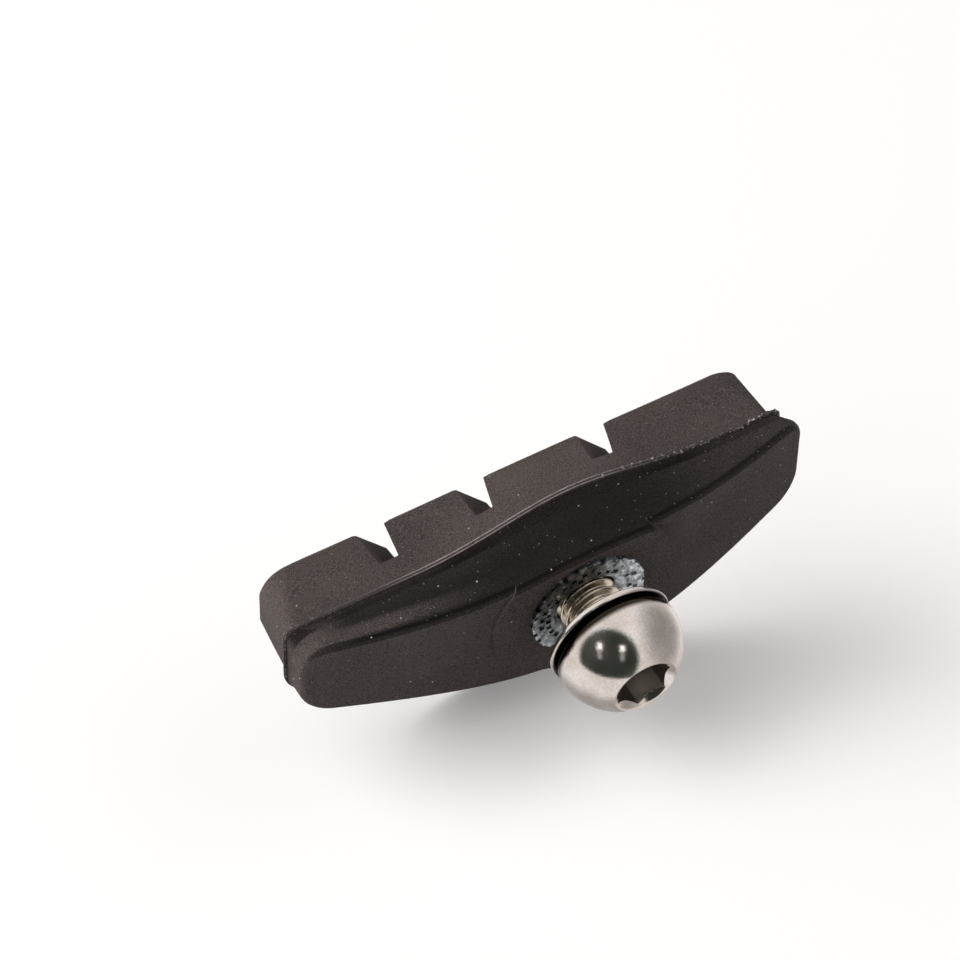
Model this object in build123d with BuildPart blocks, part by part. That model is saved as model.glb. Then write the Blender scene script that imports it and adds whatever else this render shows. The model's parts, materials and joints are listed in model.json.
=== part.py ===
"""Bicycle rim brake pad: moulded rubber block, steel insert, washer and pad bolt.

Millimetres. The origin is on the bolt's axis, on the mounting face of the serrated collar.
+X runs along the block, +Y points at the rim (the friction face looks along +Y, the bolt head
along -Y) and +Z is the tyre side. The arched guide is on -Z, the hub side.
"""

import os
from math import asin, cos, degrees, radians, sin

from build123d import *

# Depths along Y, from the mounting face
boss_face = 0.5
parting_depth = 6.7
friction_depth = 13.6
groove_depth = 4.2

# Block outline at the parting line, where the two halves of the mould met
left_end = 27.9
right_end = 23.4
straight_side = 6.5
parting_corner = 1.0
bulge_height = 2.55
bulge_centre = 1.5
bulge_half_length = 16.5
guide_centre = -2.5
guide_reach = 16.8
guide_left_end = 2.8
guide_right_end = 3.9
guide_left_angle = 47
guide_right_angle = 35
guide_corner = 3.2
mould_draft = 0.15

# Waist of the front half, where the guide face turns from steep to shallow
waist_depth = 8.9
waist_reach = 7.2
waist_end = 2.8
waist_angle = 14
waist_left_end = 27.75
waist_right_end = 23.5
waist_corner = 1.6
waist_bulge = 1.8

# Friction face
friction_left = 27.4
friction_right = 23.7
friction_top = 6.2
friction_low = 2.2
friction_corner = 3.0
friction_edge = 0.35

# Chevron grooves in the friction face: where each one's middle crosses the long edges
groove_places = (-15.85, -5.2, 7.6)
groove_mouth = 3.0
groove_floor = 2.0
chevron_point = 3.2

# Back half: a bar with a sloping shoulder under the bulge and an arched back, a little longer than the front
bar_left_end = 28.1
bar_right_end = 23.9
bar_flare = 1.9
shoulder_depth = 5.9
shoulder_top = 6.15
shoulder_bulge = 1.3
shoulder_corner = 2.8
bar_top = 5.95
bar_bulge = 1.1
bar_corner = 4.2
bar_centre = 2.5
bar_reach = 10.4
bar_left_low = 4.35
bar_right_low = 5.9
bar_low_corner = 4.8
bar_angle = 12
bar_inset = 0.15
arch_centre = -2.5
arch_radius = 95.0
boss_radius = 9.7
boss_step = 0.15
crease_radius = 0.8

# Flash, the thin fin of rubber that squeezed out along the parting line
flash_reach = 0.3
flash_thickness = 0.2

# Pad bolt, M6 with a domed head and a hexagon socket
thread_diameter = 6.0
bolt_length = 12.0
bolt_tip_chamfer = 0.7
head_radius = 6.15
head_height = 6.3
head_edge = 1.1
socket_across_flats = 5.0
socket_depth = 3.0
socket_mouth = 6.2
socket_turn = 20
drill_cone = 1.2

# Flat washer and the grip between collar and washer, where the caliper arm sits
arm_gap = 3.55
washer_diameter = 12.5
washer_thickness = 0.65
washer_clearance = 0.4
washer_edge = 0.2

# Threaded insert
collar_diameter = 11.9
collar_thickness = 1.8
collar_countersink = 7.4
pit_count = 28
pit_depth = 0.35
pit_width = 0.5
pit_rows = (4.35, 5.0)
rim_notch = 0.35
barrel_diameter = 9.0
barrel_end_wall = 0.6
thread_clearance = 0.1
bolt_end_gap = 0.3
anchor_length = 26.0
anchor_width = 10.0
anchor_thickness = 1.5
anchor_depth = 4.6
anchor_corner = 2.5

# Worked out from the sizes above
washer_seat = -arm_gap - washer_thickness
bolt_tip = washer_seat + bolt_length
head_top = washer_seat - head_height
widest_ring = washer_seat - head_edge
dome_rise = degrees(asin((head_height - head_edge) / head_radius))
socket_chamfer = (socket_mouth - socket_across_flats) / 2
bore_end = bolt_tip + bolt_end_gap
barrel_end = bore_end + barrel_end_wall
friction_middle = (friction_top - friction_low) / 2
chevron_half = (friction_top + friction_low) / 2
overcut = 1.0


def across(depth):
    """Plane square to the bolt, at a depth from the mounting face, with Z up in the sketch."""
    return Plane.XZ.offset(-depth)


def outline(depth, left, right, top, corner, bulge, lowest, ends, angles, low_corner):
    """Section of the block: straight side with a bulge above, arched side below."""
    left_angle, right_angle = (radians(angle) for angle in angles)
    left_low, right_low = ends
    bulge_from = bulge_centre - bulge_half_length
    bulge_to = bulge_centre + bulge_half_length
    lean_right = (radians(90) + right_angle) / 2
    lean_left = (radians(90) + left_angle) / 2
    right_foot = (right - low_corner * cos(lean_right), -right_low)
    right_start = (right, -right_low + low_corner * sin(lean_right))
    left_foot = (-left + low_corner * cos(lean_left), -left_low)
    left_stop = (-left, -left_low + low_corner * sin(lean_left))
    with BuildSketch(across(depth)) as section:
        with BuildLine():
            Line((-left + corner, top), (bulge_from, top))
            Spline(
                (bulge_from, top),
                (bulge_centre, top + bulge),
                (bulge_to, top),
                tangents=[(1, 0), (1, 0), (1, 0)],
            )
            Line((bulge_to, top), (right - corner, top))
            TangentArc((right - corner, top), (right, top - corner), tangent=(1, 0))
            Line((right, top - corner), right_start)
            TangentArc(right_start, right_foot, tangent=(0, -1))
            Spline(
                right_foot,
                lowest,
                left_foot,
                tangents=[
                    (-cos(right_angle), -sin(right_angle)),
                    (-1, 0),
                    (-cos(left_angle), sin(left_angle)),
                ],
            )
            TangentArc(left_foot, left_stop, tangent=(-cos(left_angle), sin(left_angle)))
            Line(left_stop, (-left, top - corner))
            TangentArc((-left, top - corner), (-left + corner, top), tangent=(0, 1))
        make_face()
    return section.sketch


def guide_outline(depth, left, right, grow):
    """Outline at the parting line, grown sideways for the flash."""
    return outline(
        depth,
        left + grow,
        right + grow,
        straight_side + grow,
        parting_corner,
        bulge_height,
        (guide_centre, -guide_reach - grow),
        (guide_left_end + grow, guide_right_end + grow),
        (guide_left_angle, guide_right_angle),
        guide_corner,
    )


def bar_outline(depth, inset, flare, top, corner, bulge):
    """Outline of the back half, whose right end leans out by the flare."""
    return outline(
        depth,
        bar_left_end - inset,
        bar_right_end + flare,
        top,
        corner,
        bulge,
        (bar_centre, inset - bar_reach),
        (bar_left_low, bar_right_low),
        (bar_angle, bar_angle),
        bar_low_corner,
    )


def chevron(depth, middle, width):
    """One groove's section: two slanted arms that meet in a point towards +X."""
    slope = chevron_point / chevron_half
    arm = guide_reach + friction_top
    tail = chevron_point - slope * arm
    with BuildSketch(across(depth)) as section:
        with Locations((middle, friction_middle)):
            Polygon(
                (tail - width / 2, arm),
                (chevron_point - width / 2, 0),
                (tail - width / 2, -arm),
                (tail + width / 2, -arm),
                (chevron_point + width / 2, 0),
                (tail + width / 2, arm),
                align=None,
            )
    return section.sketch


# Insert before its bore and teeth are cut, which is also the pocket that it leaves in the rubber
with BuildPart() as insert_blank:
    with BuildSketch(across(0)):
        Circle(collar_diameter / 2)
    extrude(amount=-collar_thickness)
    with BuildSketch(across(collar_thickness)):
        Circle(barrel_diameter / 2)
    extrude(amount=collar_thickness - barrel_end)
    with BuildSketch(across(anchor_depth)):
        with Locations((guide_centre, 0)):
            RectangleRounded(anchor_length, anchor_width, anchor_corner)
    extrude(amount=-anchor_thickness)

# Threaded insert: countersunk bore, notches round the collar's rim and two rows of pits inside them
with BuildPart() as threaded_insert:
    add(insert_blank.part)
    with BuildSketch(across(0)):
        Circle(thread_diameter / 2 + thread_clearance)
    extrude(amount=-bore_end, mode=Mode.SUBTRACT)
    face_edges = threaded_insert.faces().sort_by(Axis.Y)[0].edges()
    chamfer(face_edges.sort_by(SortBy.RADIUS)[0], (collar_countersink - thread_diameter) / 2 - thread_clearance)
    with BuildSketch(across(0)):
        with PolarLocations(collar_diameter / 2 - rim_notch, pit_count):
            Rectangle(rim_notch + overcut, pit_width, align=(Align.MIN, Align.CENTER))
        with PolarLocations(pit_rows[0], pit_count):
            Rectangle(pit_width, pit_width)
        with PolarLocations(pit_rows[1], pit_count, start_angle=180 / pit_count):
            Rectangle(pit_width, pit_width)
    extrude(amount=-pit_depth, mode=Mode.SUBTRACT)

# Back half of the block: sloping shoulder under the bulge, then the bar's own walls
with BuildPart() as bar_blank:
    loft(
        [
            bar_outline(parting_depth, 0, 0, straight_side - mould_draft, parting_corner, bulge_height),
            bar_outline(shoulder_depth, bar_inset, bar_flare, shoulder_top, shoulder_corner, shoulder_bulge),
        ],
        ruled=True,
    )
    loft(
        [
            bar_outline(shoulder_depth, bar_inset, bar_flare, shoulder_top, shoulder_corner, shoulder_bulge),
            bar_outline(0, 2 * bar_inset, 2 * bar_flare, bar_top, bar_corner, bar_bulge),
        ],
        ruled=True,
    )

# The same bar cut to its arched back
with BuildPart() as arched_bar:
    add(bar_blank.part)
    with BuildSketch(Plane.XY):
        with Locations((arch_centre, boss_face + boss_step + arch_radius)):
            Circle(arch_radius)
    extrude(amount=left_end, both=True, mode=Mode.INTERSECT)
    arched_face = arched_bar.faces().sort_by(Axis.Y)[0]
    fillet(arched_face.edges(), crease_radius)

# The round boss, trimmed to the bar
with BuildPart() as boss:
    add(bar_blank.part)
    split(bisect_by=across(boss_face), keep=Keep.BOTTOM)
    fillet(boss.faces().sort_by(Axis.Y)[0].edges(), crease_radius)
    with BuildSketch(across(boss_face)):
        Circle(boss_radius)
    extrude(amount=boss_face - parting_depth, mode=Mode.INTERSECT)

# Rubber block
with BuildPart() as brake_block:
    # Front half: concave guide face from the parting line up to the friction face
    loft([
        guide_outline(parting_depth, left_end, right_end, 0),
        outline(
            waist_depth,
            waist_left_end,
            waist_right_end,
            straight_side - mould_draft,
            waist_corner,
            waist_bulge,
            (guide_centre, -waist_reach),
            (waist_end, waist_end),
            (waist_angle, waist_angle),
            guide_corner,
        ),
        outline(
            friction_depth,
            friction_left,
            friction_right,
            friction_top,
            friction_corner,
            mould_draft,
            (guide_centre, -friction_low),
            (friction_low, friction_low),
            (0, 0),
            friction_corner,
        ),
    ])
    for place in groove_places:
        loft(
            [
                chevron(friction_depth - groove_depth, place, groove_floor),
                chevron(friction_depth, place, groove_mouth),
            ],
            ruled=True,
            mode=Mode.SUBTRACT,
        )
    friction_faces = brake_block.faces().group_by(Axis.Y)[-1]
    chamfer(friction_faces.edges(), friction_edge)
    add(arched_bar.part)
    add(boss.part)
    flash_depth = parting_depth - flash_thickness / 2
    extrude(guide_outline(flash_depth, bar_left_end, bar_right_end, flash_reach), amount=-flash_thickness)
    add(insert_blank.part, mode=Mode.SUBTRACT)

# Washer under the head
with BuildPart() as flat_washer:
    with BuildSketch(across(washer_seat)):
        Circle(washer_diameter / 2)
        Circle((thread_diameter + washer_clearance) / 2, mode=Mode.SUBTRACT)
    extrude(amount=-washer_thickness)
    rims = flat_washer.edges().filter_by(GeomType.CIRCLE).group_by(SortBy.RADIUS)[-1]
    fillet(rims, washer_edge)

# Pad bolt: the half section of shank and dome, turned about the bolt's axis
with BuildPart() as pad_bolt:
    with BuildSketch(Plane.XY):
        with BuildLine():
            seat_edge = CenterArc((head_radius - head_edge, widest_ring), head_edge, 90, -90)
            dome = CenterArc((0, widest_ring), head_radius, 0, -dome_rise)
            Polyline(
                dome @ 1,
                (0, head_top),
                (0, bolt_tip),
                (thread_diameter / 2 - bolt_tip_chamfer, bolt_tip),
                (thread_diameter / 2, bolt_tip - bolt_tip_chamfer),
                (thread_diameter / 2, washer_seat),
                seat_edge @ 0,
            )
        make_face()
    revolve(axis=Axis.Y)
    with BuildSketch(across(head_top)):
        RegularPolygon(socket_across_flats / 2, 6, major_radius=False, rotation=socket_turn)
    extrude(amount=-socket_depth, mode=Mode.SUBTRACT)
    with BuildSketch(Plane.XY):
        with BuildLine():
            Polyline(
                (0, head_top),
                (socket_mouth / 2, head_top),
                (socket_across_flats / 2, head_top + socket_chamfer),
                (socket_across_flats / 2, head_top + socket_depth),
                (0, head_top + socket_depth + drill_cone),
                close=True,
            )
        make_face()
    revolve(axis=Axis.Y, mode=Mode.SUBTRACT)

os.makedirs("parts", exist_ok=True)
for piece, label in (
    (brake_block, "brake_block"),
    (threaded_insert, "threaded_insert"),
    (flat_washer, "flat_washer"),
    (pad_bolt, "pad_bolt"),
):
    piece.part.label = label
    export_step(piece.part, f"parts/{label}.step")
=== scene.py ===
"""Looks of a bicycle rim brake pad: rubber block, zinc insert, bright washer and domed pad bolt."""

import json
from math import asin, atan2, cos, pi, radians, sin, sqrt

import bpy
import numpy as np
from mathutils import Matrix, Vector


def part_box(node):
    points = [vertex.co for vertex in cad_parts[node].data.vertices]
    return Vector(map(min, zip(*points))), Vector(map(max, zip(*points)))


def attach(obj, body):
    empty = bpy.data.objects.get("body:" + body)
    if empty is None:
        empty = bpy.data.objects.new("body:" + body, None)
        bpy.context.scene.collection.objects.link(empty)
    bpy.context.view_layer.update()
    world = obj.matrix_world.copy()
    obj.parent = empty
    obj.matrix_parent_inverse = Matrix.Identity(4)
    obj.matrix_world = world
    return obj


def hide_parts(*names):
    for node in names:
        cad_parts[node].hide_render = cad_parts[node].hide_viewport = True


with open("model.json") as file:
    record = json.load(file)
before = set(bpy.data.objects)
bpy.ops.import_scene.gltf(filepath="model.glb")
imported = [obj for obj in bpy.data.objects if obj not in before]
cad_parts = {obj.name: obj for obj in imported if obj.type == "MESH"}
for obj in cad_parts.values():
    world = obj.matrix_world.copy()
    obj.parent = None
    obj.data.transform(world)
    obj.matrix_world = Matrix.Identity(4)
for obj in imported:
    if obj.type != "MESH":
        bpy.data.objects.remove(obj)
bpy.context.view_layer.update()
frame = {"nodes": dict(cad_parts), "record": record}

MM = 0.001

# Places and sizes that the frame gives
bolt_low, bolt_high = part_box("pad_bolt")
washer_low, washer_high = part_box("flat_washer")
thread_radius = frame["record"]["mounts"][0]["dims"]["r_mm"] * MM
head_seat = washer_low[1]
head_top = bolt_low[1]
bolt_tip = bolt_high[1]
washer_radius = (washer_high[0] - washer_low[0]) / 2

# Bolt: M6 thread, domed head, countersunk hexagon socket with a drilled bottom
HEAD_RADIUS = 6.15 * MM
HEAD_EDGE = 1.1 * MM
THREAD_PITCH = 1.0 * MM
THREAD_DEPTH = 0.61 * MM
THREAD_CREST = 0.125
THREAD_FLANK = 0.625
THREAD_RUNOUT = 0.6 * MM
TIP_CHAMFER = 0.7 * MM
SOCKET_FLAT = 2.5 * MM
SOCKET_MOUTH = 3.1 * MM
SOCKET_DEPTH = 3.0 * MM
SOCKET_TURN = radians(20)
MOUTH_ROUND = 0.1 * MM
DRILL_CONE = 1.2 * MM
DRILL_SHARE = 0.98
CREVICE_TOP = 0.5 * MM
CREVICE_EDGE = 0.1 * MM
COLUMNS = 144
RINGS_PER_PITCH = 20
EDGE_RINGS = 17
DOME_RINGS = 49
SINK_RINGS = 13
WALL_RINGS = 9
DRILL_RINGS = 9
BOLT_SHARP = radians(32)

# Washer
WASHER_HOLE = 3.2 * MM
WASHER_EDGE = 0.2 * MM
WASHER_SHARP = radians(40)
WASHER_RINGS = 9

# Collar of the insert: two rows of square pits and a row of rim notches,
# where some pits have raised lips and the others are plated over
PIT_COUNT = 28
PIT_ROWS = (4.35 * MM, 5.0 * MM)
NOTCH_ROW = 5.75 * MM
PIT_WIDTH = 0.5 * MM
LIP_WIDTH = 0.06 * MM
LIP_SIDES = 6
OPEN_SHARE = 0.62
PLATING_WIDTH = 0.38 * MM
PLATING_SINK = 0.06 * MM
PLATING_FLAT = 0.3
PLATING_SIZES = (0.8, 1.15)
PLATING_SEED = 7

# Zinc on the collar: painted dark reflection on the upper left, lighter right end and low side, painted
# glints
ZINC_TONES = ((0.34, (0.18, 0.22, 0.25)), (0.64, (0.92, 0.97, 1.0)))
ZINC_SCALE = 1300.0
ZINC_HEIGHT = 0.08 * MM
ZINC_BUMP = 0.6
ZINC_ROUGHNESS = 0.3
LIT_RIGHT_END = (0.0, 3.2 * MM)
LIT_LOW_SIDE = (2.5 * MM, -2 * MM)
DARK_REFLECTION_TONE = 0.2
LIT_LOW_SHARE = 0.28
PAINTED_GLINTS = (0.6, 0.68)
PAINTED_GLINT_TONE = 0.7

# Moulding flash along the parting line: two thin lines, crumbs at the right end
FLASH_LOW = 6.6 * MM
FLASH_HIGH = 6.8 * MM
FLASH_STEP = 0.12 * MM
FLASH_LIP = 0.09 * MM
FLASH_INSET = 1.6
FLASH_MIDDLE = -2 * MM
LEVEL_GAP = 1e-6
CRUMBLY_RIGHT = (3 * MM, 13 * MM)
CRUMBLY_LEFT = (-22 * MM, -26 * MM)
# Stretch along which the flash gets its painted highlight
FLASH_HIGHLIGHT_SPAN = (-20 * MM, -14 * MM)
FLASH_LINES = 0.28 * MM
FLASH_SEED = 4.0
TEAR_SCALE = 2400.0
PATCH_SCALE = 120.0
PATCH_BASE = 0.35
THIN_LIP = 0.8
TORN_LIP = 1.1
CRUMB_SIZE = 0.2 * MM
CRUMB_SIZES = (0.3, 1.0)
CRUMB_STRAY = 0.12 * MM
STRAY_REACH = ((-1, -0.5, -1), (1, 2.5, 1))
STRAY_SEED, CRUMB_SEED, SIZE_SEED = 11, 12, 13
CRUMB_SCALE = 2600.0
CRUMB_TONES = ((0.52, (0.03, 0.027, 0.025)), (0.7, (0.42, 0.39, 0.36)))
# Pale tones of the painted highlight along the thin flash
FLASH_HIGHLIGHT_SCALE = 1100.0
FLASH_HIGHLIGHT_TONES = ((0.3, (0.26, 0.24, 0.23)), (0.7, (0.46, 0.43, 0.41)))
DARK_FLASH = (0.09, 0.08, 0.076, 1)
TORN_ROUGHNESS = 0.6
TORN_SPECULAR = 0.4

# Camera, worked out from the photograph: the collar's centre, the scale and the view's angles
PHOTO_SIZE = 960
COLLAR_PIXEL = (588.7, 603.4)
FOCAL_PIXELS = 5505
COLLAR_DISTANCE = 0.51
VIEW_AZIMUTH = radians(-30.3)
VIEW_ELEVATION = radians(54.9)
VIEW_ROLL = radians(1.34)
SENSOR = 36.0
CLIP_START = 0.01

# Table that the pad lies on, by its normal in the pad's own frame
TABLE_NORMAL = Vector((0.13, 0.4, 0.91)).normalized()
TABLE_SIZE = 1.6
TABLE_BOUNCE = (0.6, 0.595, 0.59, 1)
TABLE_SEEN = (0.88, 0.875, 0.88, 1)
TABLE_LIFT = 0.17
TABLE_ROUGHNESS = 0.9
TABLE_SPECULAR = 0.05

# Rubber: fine grain with a weak cloudy bloom, and two sizes of dust as (scale, size, rarity, colour)
RUBBER_TONES = ((0.36, (0.025, 0.021, 0.02)), (0.64, (0.119, 0.0995, 0.0935)))
GRAIN_SCALE = 9000.0
BLOOM_SCALE = 140.0
BLOOM_SHARE = 0.14
GRAIN_SHARE = 0.86
GRAIN_HEIGHT = 0.08 * MM
GRAIN_BUMP = 0.8
RUBBER_ROUGHNESS = 0.75
RUBBER_SPECULAR = 0.12
SPECKS = (900.0, 0.085, 0.62, (0.5, 0.48, 0.46, 1))
MOTES = (2300.0, 0.15, 0.72, (0.19, 0.175, 0.165, 1))

# Painted shade in the recess between the flash and the back, and along the crease above the back face
RECESS_SHADE_TONE = 0.2
RECESS_EDGE = 0.45 * MM
RECESS_FADE = 3.0 * MM
RECESS_LEFT = (-25.2 * MM, -22 * MM)
RECESS_RIGHT = (26 * MM, 4 * MM)
RECESS_STEPS = (0.75, 0.25)
RECESS_FACING = (0.5, 0.9)
RECESS_END = 0.55
CREASE_SHADE_TONE = 0.4
CREASE_TURN = (-0.12, -0.38)

# Rounded band along the bar's left shoulder spared from the painted recess shade, a painted light strip
LIT_BAND_START = (-25 * MM, 4.4 * MM)
LIT_BAND_SLOPE = -0.125
LIT_BAND_HALF = (0.3 * MM, 1.1 * MM)
LIT_BAND_FADE = (-7 * MM, -21 * MM)
LIT_BAND_SHARE = 0.95

# Polished steel: stains, satin grain, the thread's tone, painted shade in the socket and under the head's
# edge
STEEL_TONES = ((0.36, (0.7, 0.635, 0.58)), (0.62, (0.83, 0.785, 0.76)))
STAIN_SCALE = 420.0
SATIN_SCALE = 4600.0
SATIN_RANGE = (0.36, 0.62)
SATIN_TONE = 0.9
SATIN_HEIGHT = 0.02 * MM
SATIN_BUMP = 0.25
THREAD_TONE = (0.76, 0.68, 0.57, 1)
SOCKET_SHADE_TONE = (0.36, 0.32, 0.3, 1)
DRILLED_SHADE_TONE = (0.55, 0.56, 0.52, 1)
CREVICE_SHADE_TONE = (0.03, 0.022, 0.015, 1)
GLOSS = (0.1, 0.17)
SOCKET_DULL, THREAD_DULL, DRILLED_DULL = 0.15, 0.05, 0.25

# Studio: soft light from both sides and a window lamp, walls that turn grey to the right,
# and a dark opening round the camera
LEFT_LIGHT = (Vector((-0.87, 0.22, 0.45)).normalized(), 2.7)
RIGHT_LIGHT = (Vector((0.92, -0.3, 0.28)).normalized(), 1.1)
LIGHT_SPREAD = 0.4
GREY_SIDE = Vector((0.95, -0.26, 0.14)).normalized()
GREY_START = 0.5
OPENING_AXIS = Vector((-0.648, -0.573, 0.497)).normalized()
OPENING_EDGE = (cos(radians(57)), cos(radians(47)))
OPENING_TONE = 0.038
OPENING_HUE = (0.86, 1, 0.86, 1)
WALL_TONES = (0.92, 0.36)
WALL_HUE = (1, 0.965, 0.945, 1)
SKYLINE = (-0.09, -0.03)
SHADED_FLOOR = (0.62, 0.95)
SHADED_TONE = 0.45
WINDOW_SIDE = Vector((-0.66, 0.64, 0.38))
WINDOW_DISTANCE = 0.75
WINDOW_SIZE = 0.9
WINDOW_POWER = 3.4
WINDOW_HUE = (1, 0.985, 0.97)

# Two small lamps by the camera that the dome mirrors, as (side, rise),
# each with a bright card and a weaker tail as (drop, width, height, glow)
LAMP_SPOTS = ((-0.524, -0.01), (0.129, -0.072))
LAMP_CARDS = ((0.0, 0.075, 0.095, 1.6), (0.16, 0.06, 0.2, 0.4))
LAMP_DISTANCE = 0.5
LAMP_HUE = (1, 1, 1)


def new_piece(name, points, faces):
    """Smooth mesh object from points and faces."""
    mesh = bpy.data.meshes.new(name)
    mesh.from_pydata(points, [], faces)
    mesh.validate()
    mesh.polygons.foreach_set("use_smooth", [True] * len(mesh.polygons))
    piece = bpy.data.objects.new(name, mesh)
    bpy.context.scene.collection.objects.link(piece)
    return piece


def set_material(piece, material):
    """Put one material on a piece."""
    piece.data.materials.clear()
    piece.data.materials.append(material)


def dress_node(name, material):
    """Give a node of the frame its finish."""
    for slot in frame["nodes"][name].material_slots:
        slot.material = material


def turned(name, rings, start_tip=True, end_tip=True):
    """Solid about the bolt's axis from rings of (depth, radius), where a radius may vary by angle."""
    angles = np.linspace(0, 2 * pi, COLUMNS, endpoint=False)
    points = []
    for depth, radius in rings:
        radii = np.broadcast_to(radius, COLUMNS)
        points += [(r * cos(a), depth, r * sin(a)) for r, a in zip(radii, angles)]
    faces = []
    for row in range(len(rings) - 1):
        start = row * COLUMNS
        for column in range(COLUMNS):
            after = (column + 1) % COLUMNS
            faces.append((start + column, start + after, start + COLUMNS + after, start + COLUMNS + column))
    if start_tip:
        points.append((0, rings[0][0], 0))
        tip = len(points) - 1
        faces += [(tip, (column + 1) % COLUMNS, column) for column in range(COLUMNS)]
    if end_tip:
        points.append((0, rings[-1][0], 0))
        tip = len(points) - 1
        last = (len(rings) - 1) * COLUMNS
        faces += [(tip, last + column, last + (column + 1) % COLUMNS) for column in range(COLUMNS)]
    return new_piece(name, points, faces)


def thread_rings():
    """Right-handed thread from the bolt's tip up to the seat of its head."""
    angles = np.linspace(0, 2 * pi, COLUMNS, endpoint=False)
    count = int((bolt_tip - head_seat) / THREAD_PITCH * RINGS_PER_PITCH)
    rings = []
    for depth in np.linspace(bolt_tip, head_seat, count):
        phase = (depth / THREAD_PITCH + angles / (2 * pi)) % 1
        from_crest = np.abs(phase - 0.5) * 2
        cut = np.clip((from_crest - THREAD_CREST) / THREAD_FLANK, 0, 1) * THREAD_DEPTH
        fade = np.clip((depth - head_seat) / THREAD_RUNOUT, 0, 1)
        tip_limit = thread_radius - TIP_CHAMFER + bolt_tip - depth
        rings.append((depth, np.minimum(thread_radius - cut * fade, tip_limit)))
    return rings


def dome_rings():
    """Rounded seat edge and dome of the head, out to the socket's mouth."""
    widest = head_seat - HEAD_EDGE
    rings = []
    for turn in np.linspace(pi / 2, 0, EDGE_RINGS):
        rings.append((widest + HEAD_EDGE * sin(turn), HEAD_RADIUS - HEAD_EDGE * (1 - cos(turn))))
    rim = asin((widest - head_top) / HEAD_RADIUS)
    for rise in np.linspace(0, rim, DOME_RINGS)[1:]:
        rings.append((widest - HEAD_RADIUS * sin(rise), HEAD_RADIUS * cos(rise)))
    return rings


def socket_rings():
    """Countersunk mouth, hexagon walls and drilled bottom of the socket."""
    angles = np.linspace(0, 2 * pi, COLUMNS, endpoint=False)
    hexagon = SOCKET_FLAT / np.cos((angles - SOCKET_TURN) % (pi / 3) - pi / 6)
    rings = [
        (head_top, SOCKET_MOUTH + MOUTH_ROUND),
        (head_top + MOUTH_ROUND / 4, SOCKET_MOUTH + MOUTH_ROUND / 3),
    ]
    sink = SOCKET_MOUTH - SOCKET_FLAT
    for depth in np.linspace(MOUTH_ROUND, sink, SINK_RINGS):
        rings.append((head_top + depth, np.maximum(hexagon, SOCKET_MOUTH - depth)))
    for depth in np.linspace(sink, SOCKET_DEPTH, WALL_RINGS)[1:]:
        rings.append((head_top + depth, hexagon))
    for share in np.linspace(0, 1, DRILL_RINGS)[:-1]:
        rings.append((head_top + SOCKET_DEPTH + DRILL_CONE * share, SOCKET_FLAT * DRILL_SHARE * (1 - share)))
    return rings


def make_bolt(material):
    """Pad bolt in one mesh, shaded smooth on the thread and sharp along the hexagon's edges."""
    bolt = turned("dome_bolt", thread_rings() + dome_rings() + socket_rings())
    bolt.data.set_sharp_from_angle(angle=BOLT_SHARP)
    on_thread = [vertex.co.y > head_seat + MOUTH_ROUND for vertex in bolt.data.vertices]
    for edge in bolt.data.edges:
        if all(on_thread[corner] for corner in edge.vertices):
            edge.use_edge_sharp = False
    set_material(bolt, material)
    return bolt


def make_washer(material):
    """Flat washer with rounded outer edges."""
    front = washer_high[1]
    back = washer_low[1]
    rings = [(front, WASHER_HOLE)]
    for turn in np.linspace(0, pi / 2, WASHER_RINGS):
        rings.append((front - WASHER_EDGE * (1 - cos(turn)), washer_radius - WASHER_EDGE * (1 - sin(turn))))
    for turn in np.linspace(0, pi / 2, WASHER_RINGS):
        rings.append((back + WASHER_EDGE * (1 - sin(turn)), washer_radius - WASHER_EDGE * (1 - cos(turn))))
    rings += [(back, WASHER_HOLE), (front, WASHER_HOLE)]
    washer = turned("bright_washer", rings, start_tip=False, end_tip=False)
    washer.data.set_sharp_from_angle(angle=WASHER_SHARP)
    set_material(washer, material)
    return washer


class NodeTree:
    """Small helper that adds and joins the nodes of a geometry or shader tree."""

    def __init__(self, tree):
        self.tree = tree

    def join(self, source, target):
        self.tree.links.new(source, target)

    def feed(self, socket, value):
        """Join an output to a socket, or set the socket to a plain value."""
        if isinstance(value, bpy.types.NodeSocket):
            self.join(value, socket)
        else:
            socket.default_value = value

    def add(self, kind, settings=None, **inputs):
        """New node with its settings and inputs, where an underscore stands for a space."""
        node = self.tree.nodes.new(kind)
        for key, value in (settings or {}).items():
            setattr(node, key, value)
        for key, value in inputs.items():
            self.feed(node.inputs[key.replace("_", " ")], value)
        return node

    def math(self, operation, first, second=0.0):
        """Result of one math operation on one or two values."""
        node = self.add("ShaderNodeMath", {"operation": operation})
        for socket, value in zip(node.inputs, (first, second)):
            self.feed(socket, value)
        return node.outputs[0]

    def smooth(self, value, low, high, first=0.0, last=1.0):
        """Soft step from first to last as a value goes from low to high."""
        settings = {"interpolation_type": "SMOOTHSTEP"}
        ends = {"From_Min": low, "From_Max": high, "To_Min": first, "To_Max": last}
        return self.add("ShaderNodeMapRange", settings, Value=value, **ends).outputs["Result"]

    def mix(self, kind, factor, first, second):
        """Blend of two numbers or two colours."""
        node = self.add("ShaderNodeMix", {"data_type": kind}, Factor=factor)
        start = {"FLOAT": 2, "RGBA": 6}[kind]
        for socket, value in zip(node.inputs[start:start + 2], (first, second)):
            self.feed(socket, value)
        return node.outputs[{"FLOAT": 0, "RGBA": 2}[kind]]

    def chance(self, low, high, seed):
        """Random number between two others for each element."""
        node = self.add("FunctionNodeRandomValue", {"data_type": "FLOAT"}, Seed=seed)
        node.inputs[2].default_value = low
        node.inputs[3].default_value = high
        return node.outputs[1]


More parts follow.
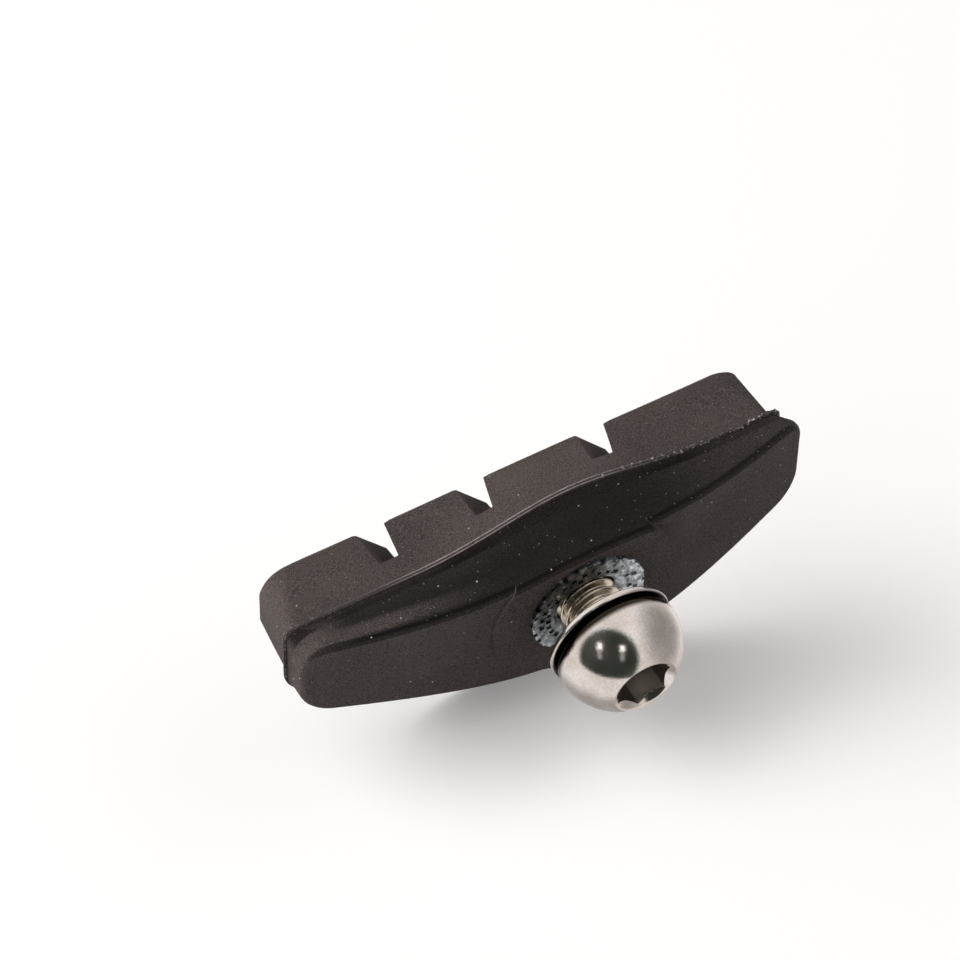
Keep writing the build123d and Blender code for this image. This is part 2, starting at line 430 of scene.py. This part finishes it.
def growing_tree(name, inputs):
    """Geometry tree with named number inputs, ready for its nodes."""
    tree = bpy.data.node_groups.new(name, "GeometryNodeTree")
    tree.interface.new_socket("Geometry", in_out="INPUT", socket_type="NodeSocketGeometry")
    for label, value in inputs.items():
        kind = "NodeSocketInt" if isinstance(value, int) else "NodeSocketFloat"
        tree.interface.new_socket(label, in_out="INPUT", socket_type=kind)
    tree.interface.new_socket("Geometry", in_out="OUTPUT", socket_type="NodeSocketGeometry")
    return tree


def grown_piece(name, tree, inputs, base=None):
    """Run a geometry tree with its inputs set, and keep the result as a plain mesh."""
    start = base or bpy.data.meshes.new(name + "_start")
    grower = bpy.data.objects.new(name + "_grower", start)
    bpy.context.scene.collection.objects.link(grower)
    modifier = grower.modifiers.new(name, "NODES")
    modifier.node_group = tree
    sockets = {item.name: item.identifier for item in tree.interface.items_tree if item.in_out == "INPUT"}
    for label, value in inputs.items():
        modifier[sockets[label]] = value
    graph = bpy.context.evaluated_depsgraph_get()
    mesh = bpy.data.meshes.new_from_object(grower.evaluated_get(graph), depsgraph=graph)
    mesh.name = name
    bpy.data.objects.remove(grower)
    piece = bpy.data.objects.new(name, mesh)
    bpy.context.scene.collection.objects.link(piece)
    return piece


def collar_plating(material):
    """Raised lips round the open pits and lumps of plating over the others, lumps alone on the notches."""
    inputs = {
        "Pit Count": PIT_COUNT,
        "Inner Row": PIT_ROWS[0],
        "Outer Row": PIT_ROWS[1],
        "Notch Row": NOTCH_ROW,
        "Pit Width": PIT_WIDTH + LIP_WIDTH,
        "Lip Radius": LIP_WIDTH,
        "Lump Radius": PLATING_WIDTH,
        "Open Share": OPEN_SHARE,
        "Seed": PLATING_SEED,
    }
    tree = growing_tree("collar_plating", inputs)
    nodes = NodeTree(tree)
    given = nodes.add("NodeGroupInput").outputs
    wide = given["Pit Width"]
    square = nodes.add("GeometryNodeCurvePrimitiveQuadrilateral", Width=wide, Height=wide).outputs["Curve"]
    section = nodes.add("GeometryNodeCurvePrimitiveCircle", Resolution=LIP_SIDES, Radius=given["Lip Radius"])
    lip = nodes.add("GeometryNodeCurveToMesh", Curve=square, Profile_Curve=section.outputs["Curve"])
    flat_lip = nodes.add("GeometryNodeTransform", Geometry=lip.outputs["Mesh"], Rotation=(pi / 2, 0, 0))
    ball = nodes.add("GeometryNodeMeshIcoSphere", Radius=given["Lump Radius"], Subdivisions=2)
    lump = nodes.add(
        "GeometryNodeTransform",
        Geometry=ball.outputs["Mesh"],
        Translation=(0, PLATING_SINK, 0),
        Scale=(1, PLATING_FLAT, 1),
    )
    index = nodes.add("GeometryNodeInputIndex").outputs["Index"]
    all_rows = nodes.add("GeometryNodeJoinGeometry")
    rows = (("Inner Row", 0.0), ("Outer Row", 0.5), ("Notch Row", 0.0))
    for number, (row, stagger) in enumerate(rows):
        share = nodes.math("DIVIDE", nodes.math("ADD", index, stagger), given["Pit Count"])
        angle = nodes.math("MULTIPLY", share, 2 * pi)
        across = nodes.math("MULTIPLY", nodes.math("COSINE", angle), given[row])
        upward = nodes.math("MULTIPLY", nodes.math("SINE", angle), given[row])
        place = nodes.add("ShaderNodeCombineXYZ", X=across, Z=upward).outputs["Vector"]
        spin = nodes.add("ShaderNodeCombineXYZ", Y=nodes.math("MULTIPLY", angle, -1.0)).outputs["Vector"]
        spots = nodes.add("GeometryNodePoints", Count=given["Pit Count"], Position=place).outputs[0]
        seed = nodes.math("ADD", given["Seed"], number)
        chance = nodes.add(
            "FunctionNodeRandomValue", {"data_type": "BOOLEAN"}, Probability=given["Open Share"], Seed=seed
        ).outputs[3]
        covered = nodes.add("FunctionNodeBooleanMath", {"operation": "NOT"})
        nodes.join(chance, covered.inputs[0])
        swell = nodes.chance(*PLATING_SIZES, seed)
        for shape, chosen in ((flat_lip, chance), (lump, covered.outputs["Boolean"])):
            if row == "Notch Row" and shape is flat_lip:
                continue
            copies = nodes.add(
                "GeometryNodeInstanceOnPoints",
                Points=spots,
                Selection=chosen,
                Instance=shape.outputs["Geometry"],
                Rotation=spin,
            )
            if shape is lump:
                nodes.join(swell, copies.inputs["Scale"])
            nodes.join(copies.outputs["Instances"], all_rows.inputs["Geometry"])
    plain = nodes.add("GeometryNodeRealizeInstances", Geometry=all_rows.outputs["Geometry"])
    smooth = nodes.add("GeometryNodeSetShadeSmooth", Geometry=plain.outputs["Geometry"])
    finish = nodes.add("GeometryNodeSetMaterial", Geometry=smooth.outputs["Geometry"], Material=material)
    output = nodes.add("NodeGroupOutput")
    nodes.join(finish.outputs["Geometry"], output.inputs["Geometry"])
    return grown_piece("collar_plating", tree, inputs)


def flash_path():
    """Closed line round the edge of the block's flash, read from the frame's own mesh."""
    levels = {}
    for vertex in frame["nodes"]["brake_block"].data.vertices:
        for level in (FLASH_LOW, FLASH_HIGH):
            if abs(vertex.co.y - level) < LEVEL_GAP:
                levels.setdefault((round(vertex.co.x, 6), round(vertex.co.z, 6)), set()).add(level)
    rim = [spot for spot, found in levels.items() if len(found) == 2]
    rim.sort(key=lambda spot: atan2(spot[1], spot[0] - FLASH_MIDDLE))
    mesh = bpy.data.meshes.new("flash_path")
    edges = [(index, (index + 1) % len(rim)) for index in range(len(rim))]
    mesh.from_pydata([(x, FLASH_LOW, z) for x, z in rim], edges, [])
    return mesh


def flash_lip(material):
    """Two uneven lines of torn rubber all the way round the flash, with crumbs at its right end."""
    inputs = {
        "Step": FLASH_STEP,
        "Lip": FLASH_LIP,
        "Inset": FLASH_LIP * FLASH_INSET,
        "Grain": TEAR_SCALE,
        "Seed": FLASH_SEED,
        "Lines Apart": FLASH_LINES,
        "Crumb": CRUMB_SIZE,
        "Stray": CRUMB_STRAY,
    }
    tree = growing_tree("flash_lip", inputs)
    nodes = NodeTree(tree)
    given = nodes.add("NodeGroupInput").outputs
    line = nodes.add("GeometryNodeMeshToCurve", Mesh=given["Geometry"])
    even = nodes.add(
        "GeometryNodeResampleCurve", {"mode": "LENGTH"}, Curve=line.outputs["Curve"], Length=given["Step"]
    )
    place = nodes.add("GeometryNodeInputPosition").outputs["Position"]
    seeded = {"Vector": place, "W": given["Seed"]}
    noise = {"noise_dimensions": "4D"}
    tear = nodes.add("ShaderNodeTexNoise", noise, **seeded, Scale=given["Grain"], Detail=3.0).outputs["Fac"]
    patch = nodes.add("ShaderNodeTexNoise", noise, **seeded, Scale=PATCH_SCALE, Detail=1.0).outputs["Fac"]
    torn = nodes.math("MULTIPLY", tear, nodes.math("ADD", patch, PATCH_BASE))
    along = nodes.add("ShaderNodeSeparateXYZ", Vector=place).outputs["X"]
    right_end = nodes.smooth(along, *CRUMBLY_RIGHT)
    crumbly = nodes.math("MAXIMUM", right_end, nodes.smooth(along, *CRUMBLY_LEFT))
    size = nodes.mix("FLOAT", crumbly, THIN_LIP, nodes.math("MULTIPLY", torn, TORN_LIP))
    thick = nodes.math("MULTIPLY", size, given["Lip"])
    tangent = nodes.add("GeometryNodeInputTangent").outputs["Tangent"]
    inward = nodes.add("ShaderNodeVectorMath", {"operation": "CROSS_PRODUCT"})
    nodes.join(tangent, inward.inputs[0])
    inward.inputs[1].default_value = (0, 1, 0)
    shift = nodes.add("ShaderNodeVectorMath", {"operation": "SCALE"}, Scale=given["Inset"])
    nodes.join(inward.outputs["Vector"], shift.inputs[0])
    drawn_in = nodes.add(
        "GeometryNodeSetPosition", Geometry=even.outputs["Curve"], Offset=shift.outputs["Vector"]
    )
    apart = nodes.add("ShaderNodeCombineXYZ", Y=given["Lines Apart"]).outputs["Vector"]
    upper = nodes.add("GeometryNodeTransform", Geometry=drawn_in.outputs["Geometry"], Translation=apart)
    lines = nodes.add("GeometryNodeJoinGeometry")
    for edge in (drawn_in, upper):
        nodes.join(edge.outputs["Geometry"], lines.inputs["Geometry"])
    section = nodes.add("GeometryNodeCurvePrimitiveCircle", Resolution=LIP_SIDES, Radius=1.0)
    lip = nodes.add(
        "GeometryNodeCurveToMesh",
        Curve=lines.outputs["Geometry"],
        Profile_Curve=section.outputs["Curve"],
        Scale=thick,
    )
    stray = nodes.add("FunctionNodeRandomValue", {"data_type": "FLOAT_VECTOR"}, Seed=STRAY_SEED)
    for socket, reach in zip(stray.inputs, STRAY_REACH):
        socket.default_value = reach
    push = nodes.add("ShaderNodeVectorMath", {"operation": "SCALE"}, Scale=given["Stray"])
    nodes.join(stray.outputs[0], push.inputs[0])
    strewn = nodes.add(
        "GeometryNodeSetPosition", Geometry=drawn_in.outputs["Geometry"], Offset=push.outputs["Vector"]
    )
    luck = nodes.chance(0.0, 1.0, CRUMB_SEED)
    grit = nodes.add("GeometryNodeMeshIcoSphere", Radius=given["Crumb"], Subdivisions=1)
    crumbs = nodes.add(
        "GeometryNodeInstanceOnPoints",
        Points=strewn.outputs["Geometry"],
        Selection=nodes.math("LESS_THAN", luck, right_end),
        Instance=grit.outputs["Mesh"],
        Scale=nodes.chance(*CRUMB_SIZES, SIZE_SEED),
    )
    torn_edge = nodes.add("GeometryNodeJoinGeometry")
    nodes.join(lip.outputs["Mesh"], torn_edge.inputs["Geometry"])
    nodes.join(crumbs.outputs["Instances"], torn_edge.inputs["Geometry"])
    plain = nodes.add("GeometryNodeRealizeInstances", Geometry=torn_edge.outputs["Geometry"])
    finish = nodes.add("GeometryNodeSetMaterial", Geometry=plain.outputs["Geometry"], Material=material)
    output = nodes.add("NodeGroupOutput")
    nodes.join(finish.outputs["Geometry"], output.inputs["Geometry"])
    return grown_piece("flash_lip", tree, inputs, flash_path())


def finish_material(name):
    """New node material, its tree helper and its shader."""
    material = bpy.data.materials.new(name)
    material.use_nodes = True
    return material, NodeTree(material.node_tree), material.node_tree.nodes["Principled BSDF"]


def tone_ramp(nodes, factor, stops):
    """Colour ramp from (place, colour) stops."""
    ramp = nodes.add("ShaderNodeValToRGB", Fac=factor)
    elements = ramp.color_ramp.elements
    while len(elements) < len(stops):
        elements.new(0.5)
    for element, (place, colour) in zip(elements, stops):
        element.position = place
        element.color = (*colour, 1)
    return ramp.outputs["Color"]


def dusted(nodes, place, tone, layer, channel):
    """Tone with a layer of dust on it, whose size and rarity come from one channel of random colours."""
    scale, size, rarity, colour = layer
    cells = nodes.add("ShaderNodeTexVoronoi", Vector=place, Scale=scale, Randomness=1.0).outputs
    luck = nodes.add("ShaderNodeSeparateColor", Color=cells["Color"]).outputs[channel]
    near = nodes.math("LESS_THAN", cells["Distance"], nodes.math("MULTIPLY", luck, size))
    chosen = nodes.math("MULTIPLY", near, nodes.math("GREATER_THAN", luck, rarity))
    return nodes.mix("RGBA", chosen, tone, colour)


def rubber_material():
    """Matte black moulded rubber with grain, bloom, dust, and painted shade in the recess and along its
    crease.
    """
    material, nodes, shader = finish_material("moulded_rubber")
    given = nodes.add("ShaderNodeTexCoord").outputs
    place = given["Object"]
    grain = nodes.add("ShaderNodeTexNoise", Vector=place, Scale=GRAIN_SCALE, Detail=2.0, Roughness=0.65)
    grain = grain.outputs["Fac"]
    bloom = nodes.add("ShaderNodeTexNoise", Vector=place, Scale=BLOOM_SCALE, Detail=4.0).outputs["Fac"]
    cloudy = nodes.math("MULTIPLY", bloom, BLOOM_SHARE)
    mixed = nodes.math("ADD", cloudy, nodes.math("MULTIPLY", grain, GRAIN_SHARE))
    grain_tone = tone_ramp(nodes, mixed, RUBBER_TONES)
    part = nodes.add("ShaderNodeSeparateXYZ", Vector=place).outputs
    facing = nodes.add("ShaderNodeSeparateXYZ", Vector=given["Normal"]).outputs
    # Painted shade: the recess under the flash is darkened in the colour itself
    edge = nodes.smooth(part["Y"], FLASH_LOW, FLASH_LOW - RECESS_EDGE, 0.0, RECESS_STEPS[0])
    inner = nodes.smooth(part["Y"], FLASH_LOW, FLASH_LOW - RECESS_FADE, 0.0, RECESS_STEPS[1])
    recess = nodes.math("ADD", edge, inner)
    recess = nodes.math("MULTIPLY", recess, nodes.smooth(facing["Z"], *RECESS_FACING))
    recess = nodes.math("MULTIPLY", recess, nodes.smooth(part["X"], *RECESS_LEFT))
    recess = nodes.math("MULTIPLY", recess, nodes.smooth(part["X"], *RECESS_RIGHT, RECESS_END, 1.0))
    # Painted light strip: the recess shade is lifted along the bar's left shoulder
    drop = nodes.math("MULTIPLY", nodes.math("SUBTRACT", part["X"], LIT_BAND_START[0]), LIT_BAND_SLOPE)
    level = nodes.math("ADD", drop, LIT_BAND_START[1])
    off_band = nodes.math("ABSOLUTE", nodes.math("SUBTRACT", part["Y"], level))
    lit_band = nodes.smooth(off_band, LIT_BAND_HALF[1], LIT_BAND_HALF[0])
    lit_band = nodes.math("MULTIPLY", lit_band, nodes.smooth(part["X"], *LIT_BAND_FADE, 0.0, LIT_BAND_SHARE))
    recess = nodes.math("MULTIPLY", recess, nodes.math("SUBTRACT", 1.0, lit_band))
    # Painted shade along the crease where the bar's top turns into the back face
    crease = nodes.smooth(nodes.math("MULTIPLY", facing["Y"], facing["Z"]), *CREASE_TURN)
    painted_shade = nodes.math("SUBTRACT", 1.0, nodes.math("MULTIPLY", recess, 1 - RECESS_SHADE_TONE))
    painted_shade = nodes.math("MULTIPLY", painted_shade, nodes.smooth(crease, 0.0, 1.0, 1.0, CREASE_SHADE_TONE))
    tone = nodes.mix("RGBA", painted_shade, (0, 0, 0, 1), grain_tone)
    dusty = dusted(nodes, place, tone, SPECKS, "Red")
    dusty = dusted(nodes, place, dusty, MOTES, "Green")
    bump = nodes.add("ShaderNodeBump", Strength=GRAIN_BUMP, Distance=GRAIN_HEIGHT, Height=grain)
    nodes.join(dusty, shader.inputs["Base Color"])
    nodes.join(bump.outputs["Normal"], shader.inputs["Normal"])
    shader.inputs["Roughness"].default_value = RUBBER_ROUGHNESS
    shader.inputs["Specular IOR Level"].default_value = RUBBER_SPECULAR
    return material


def flash_material():
    """Torn rubber of the flash: painted highlight along the thin middle, dark to the left, mottled on the
    crumbs.
    """
    material, nodes, shader = finish_material("torn_rubber")
    place = nodes.add("ShaderNodeTexCoord").outputs["Object"]
    patches = nodes.add("ShaderNodeTexNoise", Vector=place, Scale=FLASH_HIGHLIGHT_SCALE, Detail=2.0).outputs["Fac"]
    grit = nodes.add("ShaderNodeTexNoise", Vector=place, Scale=CRUMB_SCALE, Detail=1.0).outputs["Fac"]
    mottled = tone_ramp(nodes, grit, CRUMB_TONES)
    along = nodes.add("ShaderNodeSeparateXYZ", Vector=place).outputs["X"]
    right_end = nodes.smooth(along, *CRUMBLY_RIGHT)
    crumbly = nodes.math("MAXIMUM", right_end, nodes.smooth(along, *CRUMBLY_LEFT))
    # Painted highlight: a pale tone along the thin middle of the flash
    pale = tone_ramp(nodes, patches, FLASH_HIGHLIGHT_TONES)
    thin = nodes.mix("RGBA", nodes.smooth(along, *FLASH_HIGHLIGHT_SPAN), DARK_FLASH, pale)
    tone = nodes.mix("RGBA", crumbly, thin, mottled)
    nodes.join(tone, shader.inputs["Base Color"])
    shader.inputs["Roughness"].default_value = TORN_ROUGHNESS
    shader.inputs["Specular IOR Level"].default_value = TORN_SPECULAR
    return material


def polished_material():
    """Polished steel, warm stains, browner thread; painted shade in the duller socket and under the head's
    edge.
    """
    material, nodes, shader = finish_material("polished_steel")
    place = nodes.add("ShaderNodeTexCoord").outputs["Object"]
    stains = nodes.add("ShaderNodeTexNoise", Vector=place, Scale=STAIN_SCALE, Detail=4.0).outputs["Fac"]
    part = nodes.add("ShaderNodeSeparateXYZ", Vector=place).outputs
    outward = nodes.add("ShaderNodeCombineXYZ", X=part["X"], Z=part["Z"]).outputs["Vector"]
    radius = nodes.add("ShaderNodeVectorMath", {"operation": "LENGTH"}, Vector=outward).outputs["Value"]
    on_shank = nodes.math("LESS_THAN", radius, thread_radius + MOUTH_ROUND)
    past_seat = nodes.math("GREATER_THAN", part["Y"], head_seat + MOUTH_ROUND)
    on_thread = nodes.math("MULTIPLY", on_shank, past_seat)
    narrow = nodes.math("LESS_THAN", radius, SOCKET_MOUTH - MOUTH_ROUND)
    in_socket = nodes.math("MULTIPLY", narrow, nodes.math("SUBTRACT", 1.0, on_thread))
    deep = nodes.math("GREATER_THAN", part["Y"], head_top + SOCKET_MOUTH - SOCKET_FLAT)
    in_socket = nodes.math("MULTIPLY", in_socket, deep)
    stained = tone_ramp(nodes, stains, STEEL_TONES)
    satin = nodes.add("ShaderNodeTexNoise", Vector=place, Scale=SATIN_SCALE, Detail=2.0).outputs["Fac"]
    dimmed = nodes.smooth(satin, *SATIN_RANGE, SATIN_TONE, 1.0)
    bright = nodes.mix("RGBA", dimmed, (0, 0, 0, 1), stained)
    threaded = nodes.mix("RGBA", on_thread, bright, THREAD_TONE)
    # Painted shade: the socket is darkened in the colour, its drilled bottom less so
    socketed = nodes.mix("RGBA", in_socket, threaded, SOCKET_SHADE_TONE)
    drilled = nodes.math("GREATER_THAN", part["Y"], head_top + SOCKET_DEPTH - MOUTH_ROUND)
    drilled = nodes.math("MULTIPLY", in_socket, drilled)
    socketed = nodes.mix("RGBA", drilled, socketed, DRILLED_SHADE_TONE)
    # Painted shade: a dark ring in the crevice under the head's rounded edge and on the washer beside it
    widest = head_seat - HEAD_EDGE
    crevice = nodes.smooth(part["Y"], widest - CREVICE_TOP, widest + CREVICE_EDGE)
    crevice = nodes.math("MULTIPLY", crevice, nodes.smooth(part["Y"], head_seat + CREVICE_EDGE, head_seat))
    crevice_shaded = nodes.mix("RGBA", crevice, socketed, CREVICE_SHADE_TONE)
    gloss = nodes.add("ShaderNodeMapRange", Value=stains, To_Min=GLOSS[0], To_Max=GLOSS[1]).outputs["Result"]
    for mask, dull in ((in_socket, SOCKET_DULL), (on_thread, THREAD_DULL), (drilled, DRILLED_DULL)):
        gloss = nodes.math("ADD", gloss, nodes.math("MULTIPLY", mask, dull))
    ripple = nodes.add("ShaderNodeBump", Strength=SATIN_BUMP, Distance=SATIN_HEIGHT, Height=satin)
    nodes.join(ripple.outputs["Normal"], shader.inputs["Normal"])
    nodes.join(gloss, shader.inputs["Roughness"])
    nodes.join(crevice_shaded, shader.inputs["Base Color"])
    shader.inputs["Metallic"].default_value = 1.0
    return material


def zinc_material():
    """Bluish zinc plating, uneven and finely pitted, with painted dark reflection on the upper left and
    painted glints.
    """
    material, nodes, shader = finish_material("zinc_plating")
    place = nodes.add("ShaderNodeTexCoord").outputs["Object"]
    mottle = nodes.add("ShaderNodeTexNoise", Vector=place, Scale=ZINC_SCALE, Detail=3.0).outputs["Fac"]
    tone = tone_ramp(nodes, mottle, ZINC_TONES)
    part = nodes.add("ShaderNodeSeparateXYZ", Vector=place).outputs
    # Painted dark reflection over the collar's upper left; lighter at the right end and low side, with
    # painted glints
    low_down = nodes.smooth(part["Z"], *LIT_LOW_SIDE, 0.0, LIT_LOW_SHARE)
    lit_share = nodes.math("ADD", nodes.smooth(part["X"], *LIT_RIGHT_END), low_down)
    lit_share = nodes.math("ADD", lit_share, nodes.smooth(mottle, *PAINTED_GLINTS, DARK_REFLECTION_TONE, PAINTED_GLINT_TONE))
    tone = nodes.mix("RGBA", nodes.math("MINIMUM", lit_share, 1.0), (0, 0, 0, 1), tone)
    bump = nodes.add("ShaderNodeBump", Strength=ZINC_BUMP, Distance=ZINC_HEIGHT, Height=mottle)
    nodes.join(tone, shader.inputs["Base Color"])
    nodes.join(bump.outputs["Normal"], shader.inputs["Normal"])
    shader.inputs["Metallic"].default_value = 1.0
    shader.inputs["Roughness"].default_value = ZINC_ROUGHNESS
    return material


def make_camera():
    """Camera at the photograph's angle, with the collar's centre on its pixel."""
    level = Vector((cos(VIEW_AZIMUTH), sin(VIEW_AZIMUTH), 0))
    ahead = Vector((-sin(VIEW_AZIMUTH), cos(VIEW_AZIMUTH), 0))
    back = Vector((0, 0, 1)) * sin(VIEW_ELEVATION) - ahead * cos(VIEW_ELEVATION)
    right = Matrix.Rotation(VIEW_ROLL, 3, back) @ level
    up = back.cross(right)
    across = (COLLAR_PIXEL[0] - PHOTO_SIZE / 2) / FOCAL_PIXELS * COLLAR_DISTANCE
    down = (COLLAR_PIXEL[1] - PHOTO_SIZE / 2) / FOCAL_PIXELS * COLLAR_DISTANCE
    data = bpy.data.cameras.new("photo_camera")
    data.sensor_width = SENSOR
    data.lens = FOCAL_PIXELS / PHOTO_SIZE * SENSOR
    data.clip_start = CLIP_START
    camera = bpy.data.objects.new("photo_camera", data)
    turn = Matrix((right, up, back)).transposed().to_4x4()
    camera.matrix_world = Matrix.Translation(back * COLLAR_DISTANCE - right * across + up * down) @ turn
    bpy.context.scene.collection.objects.link(camera)
    bpy.context.scene.camera = camera
    return right, up, back


def flat_sheet(name, middle, normal, upward, width, height):
    """Flat sheet with its face along a normal, for the table and the studio's cards."""
    side = upward.cross(normal).normalized()
    rise = normal.cross(side).normalized()
    signs = ((-1, -1), (1, -1), (1, 1), (-1, 1))
    corners = [middle + side * width / 2 * a + rise * height / 2 * b for a, b in signs]
    return new_piece(name, corners, [(0, 1, 2, 3)])


def make_table():
    """Pale table under the pad, seen only from above."""
    meshes = [node.data for node in frame["nodes"].values()]
    lowest = min(vertex.co.dot(TABLE_NORMAL) for mesh in meshes for vertex in mesh.vertices)
    middle = TABLE_NORMAL * lowest
    table = flat_sheet("table", middle, TABLE_NORMAL, Vector((0, 1, 0)), TABLE_SIZE, TABLE_SIZE)
    material, nodes, shader = finish_material("pale_table")
    path = nodes.add("ShaderNodeLightPath").outputs
    pale = nodes.mix("RGBA", path["Is Camera Ray"], TABLE_BOUNCE, TABLE_SEEN)
    nodes.join(pale, shader.inputs["Base Color"])
    shader.inputs["Roughness"].default_value = TABLE_ROUGHNESS
    shader.inputs["Specular IOR Level"].default_value = TABLE_SPECULAR
    lift = nodes.add("ShaderNodeEmission", Strength=nodes.math("MULTIPLY", path["Is Camera Ray"], TABLE_LIFT))
    lifted = nodes.add("ShaderNodeAddShader")
    nodes.join(shader.outputs["BSDF"], lifted.inputs[0])
    nodes.join(lift.outputs["Emission"], lifted.inputs[1])
    clear = nodes.add("ShaderNodeBsdfTransparent").outputs["BSDF"]
    behind = nodes.add("ShaderNodeNewGeometry").outputs["Backfacing"]
    facing = nodes.add("ShaderNodeMixShader", Fac=behind)
    nodes.join(lifted.outputs["Shader"], facing.inputs[1])
    nodes.join(clear, facing.inputs[2])
    nodes.join(facing.outputs["Shader"], material.node_tree.nodes["Material Output"].inputs["Surface"])
    set_material(table, material)
    table.visible_glossy = False


def glow_material(name, colour, strength):
    """Plain glowing material for the studio's cards."""
    material, _, shader = finish_material(name)
    shader.inputs["Base Color"].default_value = (0, 0, 0, 1)
    shader.inputs["Specular IOR Level"].default_value = 0
    shader.inputs["Emission Color"].default_value = (*colour, 1)
    shader.inputs["Emission Strength"].default_value = strength
    return material


def make_card(name, direction, distance, width, height, upward, colour, strength):
    """Studio card that only reflections see."""
    aim = direction.normalized()
    card = flat_sheet(name, aim * distance, -aim, upward, width, height)
    set_material(card, glow_material(name, colour, strength))
    card.visible_camera = False
    card.visible_diffuse = False
    card.visible_shadow = False
    card.visible_transmission = False


def make_lamp(name, direction, distance, size, power, colour):
    """Soft square lamp that looks at the pad."""
    data = bpy.data.lights.new(name, "AREA")
    data.shape = "SQUARE"
    data.size = size
    data.energy = power
    data.color = colour
    lamp = bpy.data.objects.new(name, data)
    place = direction.normalized() * distance
    turn = place.to_track_quat("Z", "Y").to_matrix().to_4x4()
    lamp.matrix_world = Matrix.Translation(place) @ turn
    lamp.visible_glossy = False
    bpy.context.scene.collection.objects.link(lamp)


def make_world():
    """Studio walls: white for the camera, toned by direction in reflections, soft light from two sides."""
    world = bpy.data.worlds.new("studio_walls")
    bpy.context.scene.world = world
    world.use_nodes = True
    world.node_tree.nodes.clear()
    nodes = NodeTree(world.node_tree)
    toward = nodes.add("ShaderNodeTexCoord").outputs["Generated"]

    def facing(axis, low, high, dim=0.0, bright=1.0):
        """Soft step by how far a direction faces an axis."""
        turn = nodes.add("ShaderNodeVectorMath", {"operation": "DOT_PRODUCT"})
        nodes.join(toward, turn.inputs[0])
        turn.inputs[1].default_value = axis
        return nodes.smooth(turn.outputs["Value"], low, high, dim, bright)

    wall = facing(GREY_SIDE, GREY_START, 1.0, *WALL_TONES)
    shaded = facing(Vector((0, 0, -1)), *SHADED_FLOOR, 1.0, SHADED_TONE)
    wall = nodes.math("MULTIPLY", wall, shaded)
    lights = (LEFT_LIGHT, RIGHT_LIGHT)
    sides = [facing(axis, LIGHT_SPREAD, 1.0, 0.0, strength) for axis, strength in lights]
    glow = nodes.math("ADD", *sides)
    above = facing(Vector((0, 0, 1)), *SKYLINE)
    opening = nodes.math("MULTIPLY", facing(OPENING_AXIS, *OPENING_EDGE), above)
    path = nodes.add("ShaderNodeLightPath").outputs
    mirrored = nodes.math("MAXIMUM", path["Is Glossy Ray"], path["Is Transmission Ray"])
    reflected = nodes.mix("FLOAT", opening, wall, OPENING_TONE)
    tone = nodes.mix("FLOAT", mirrored, glow, reflected)
    hue = nodes.mix("RGBA", nodes.math("MULTIPLY", opening, mirrored), WALL_HUE, OPENING_HUE)
    walls = nodes.add("ShaderNodeBackground", Color=hue, Strength=tone)
    white = nodes.add("ShaderNodeBackground", Color=(1, 1, 1, 1), Strength=1.0)
    choose = nodes.add("ShaderNodeMixShader", Fac=path["Is Camera Ray"])
    nodes.join(walls.outputs["Background"], choose.inputs[1])
    nodes.join(white.outputs["Background"], choose.inputs[2])
    output = nodes.add("ShaderNodeOutputWorld")
    nodes.join(choose.outputs["Shader"], output.inputs["Surface"])


bpy.context.scene.view_settings.view_transform = "Standard"

rubber = rubber_material()
torn_rubber = flash_material()
polished = polished_material()
zinc = zinc_material()

dress_node("brake_block", rubber)
dress_node("threaded_insert", zinc)

dome_bolt = make_bolt(polished)
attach(dome_bolt, "root")
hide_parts("pad_bolt")

bright_washer = make_washer(polished)
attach(bright_washer, "root")
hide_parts("flat_washer")

plating = collar_plating(zinc)
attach(plating, "root")

torn_edge = flash_lip(torn_rubber)
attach(torn_edge, "root")

view_right, view_up, view_back = make_camera()
make_table()
make_world()
make_lamp("window", WINDOW_SIDE, WINDOW_DISTANCE, WINDOW_SIZE, WINDOW_POWER, WINDOW_HUE)
for side, rise in LAMP_SPOTS:
    for drop, wide, tall, glow in LAMP_CARDS:
        height = rise - drop
        spot = view_back * sqrt(1 - side ** 2 - height ** 2) + view_right * side + view_up * height
        make_card("flash_lamp", spot, LAMP_DISTANCE, wide, tall, view_up, LAMP_HUE, glow)
